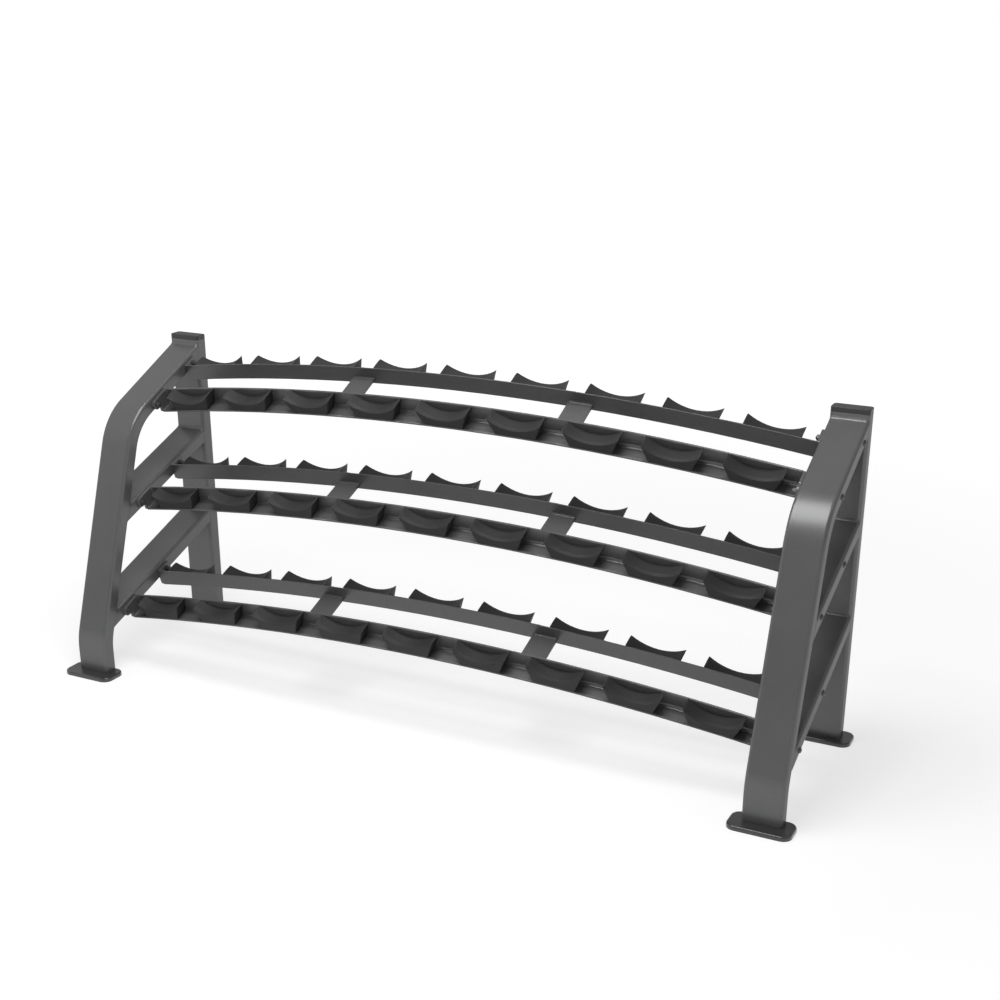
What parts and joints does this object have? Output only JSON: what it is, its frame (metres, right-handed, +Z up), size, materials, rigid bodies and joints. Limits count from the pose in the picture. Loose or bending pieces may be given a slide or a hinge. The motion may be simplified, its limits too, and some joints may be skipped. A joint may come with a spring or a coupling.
{
  "type": "dumbbell rack",
  "caption": "Free-standing tiered dumbbell rack: two bent tube end frames carry sloping trays of arched steel rails with moulded saddles that cradle the dumbbell heads.",
  "frame": {"origin": "on the floor under the middle of the rack's footprint", "axes": "+X to the rack's right seen from the front, +Y to the rear posts, +Z up; the user stands at -Y"},
  "size_m": [2.432, 0.7, 1.0199],
  "materials": {
    "frame_coat": "satin metallic grey powder coat",
    "rail_coat": "satin grey powder coat",
    "saddle_plastic": "moulded black, fine matt texture",
    "cap_plastic": "moulded black, satin",
    "foot_rubber": "moulded black rubber",
    "fastener_steel": "dark grey coated steel"
  },
  "bodies": {
    "root": {"left_front_leg": "frame_coat", "left_rear_post": "frame_coat", "left_middle_arm": "frame_coat", "left_lower_arm": "frame_coat", "left_post_cap": "cap_plastic", "left_front_foot": "foot_rubber", "left_rear_foot": "foot_rubber", "right_front_leg": "frame_coat", "right_rear_post": "frame_coat", "right_middle_arm": "frame_coat", "right_lower_arm": "frame_coat", "right_post_cap": "cap_plastic", "right_front_foot": "foot_rubber", "right_rear_foot": "foot_rubber", "top_rear_wall": "rail_coat", "top_rear_ledge": "rail_coat", "top_front_wall": "rail_coat", "top_front_ledge": "rail_coat", "top_left_cross_bar": "rail_coat", "top_right_cross_bar": "rail_coat", "top_left_rear_tab": "rail_coat", "top_left_front_tab": "rail_coat", "top_right_rear_tab": "rail_coat", "top_right_front_tab": "rail_coat", "top_rear_saddles": "saddle_plastic", "top_front_saddles": "saddle_plastic", "middle_rear_wall": "rail_coat", "middle_rear_ledge": "rail_coat", "middle_front_wall": "rail_coat", "middle_front_ledge": "rail_coat", "middle_left_cross_bar": "rail_coat", "middle_right_cross_bar": "rail_coat", "middle_left_rear_tab": "rail_coat", "middle_left_front_tab": "rail_coat", "middle_right_rear_tab": "rail_coat", "middle_right_front_tab": "rail_coat", "middle_rear_saddles": "saddle_plastic", "middle_front_saddles": "saddle_plastic", "bottom_rear_wall": "rail_coat", "bottom_rear_ledge": "rail_coat", "bottom_front_wall": "rail_coat", "bottom_front_ledge": "rail_coat", "bottom_left_cross_bar": "rail_coat", "bottom_right_cross_bar": "rail_coat", "bottom_left_rear_tab": "rail_coat", "bottom_left_front_tab": "rail_coat", "bottom_right_rear_tab": "rail_coat", "bottom_right_front_tab": "rail_coat", "bottom_rear_saddles": "saddle_plastic", "bottom_front_saddles": "saddle_plastic", "tray_bolts": "fastener_steel", "tray_washers": "fastener_steel", "tray_nuts": "fastener_steel", "saddle_screws": "fastener_steel"}
  },
  "joints": []
}
